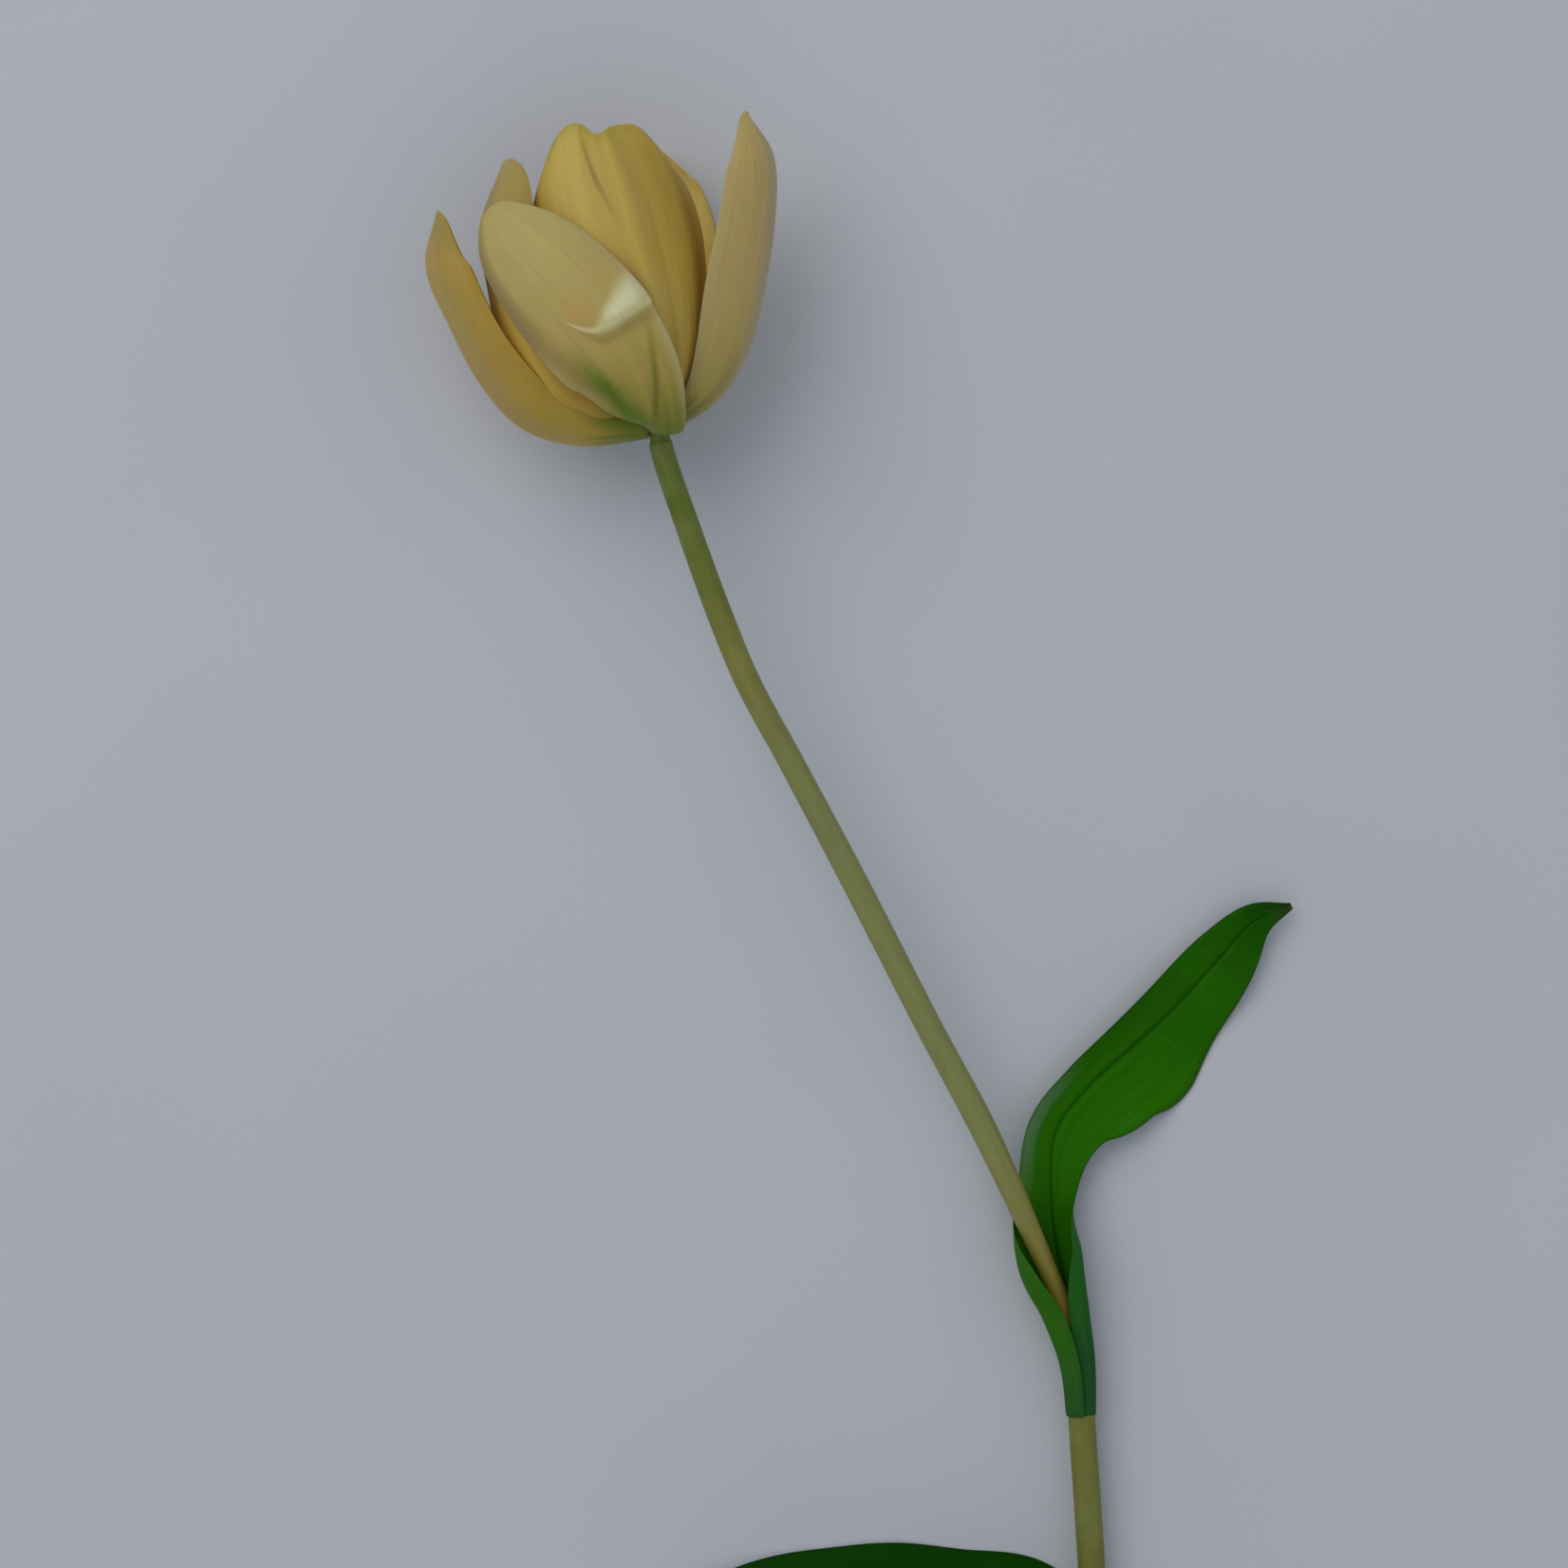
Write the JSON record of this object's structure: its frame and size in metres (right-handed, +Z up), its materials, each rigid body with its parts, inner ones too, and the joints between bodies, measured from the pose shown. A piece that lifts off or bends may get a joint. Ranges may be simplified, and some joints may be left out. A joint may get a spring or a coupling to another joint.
{
  "type": "tulip",
  "caption": "Cut tulip lying on its side: a pale yellow, half-open cup of loose tepals on a gently bent bare stem, with a broad leaf sheathing the stem and a second leaf lower down.",
  "frame": {"origin": "on the table, under the centre of the bounding box", "axes": "+Z up off the table, +Y from the cut end towards the flower, +X to the right seen from above"},
  "size_m": [0.1829, 0.3923, 0.053],
  "materials": {
    "tepal": "soft satin skin, ochre to pale yellow, green veins at the base",
    "stem": "satin green skin",
    "leaf": "waxy satin, parallel veins, blue-grey outer face",
    "pistil": "waxy pale green",
    "stamen": "powdery ochre anthers"
  },
  "bodies": {
    "root": {"stem": "stem", "pistil": "pistil", "stamen_1": "stamen", "stamen_2": "stamen", "stamen_3": "stamen", "stamen_4": "stamen", "stamen_5": "stamen", "stamen_6": "stamen", "tepal_outer_left": "tepal", "tepal_outer_front": "tepal", "tepal_outer_right": "tepal", "tepal_inner_left": "tepal", "tepal_inner_front": "tepal", "tepal_inner_back": "tepal", "leaf_upper": "leaf", "leaf_lower": "leaf"}
  },
  "joints": []
}
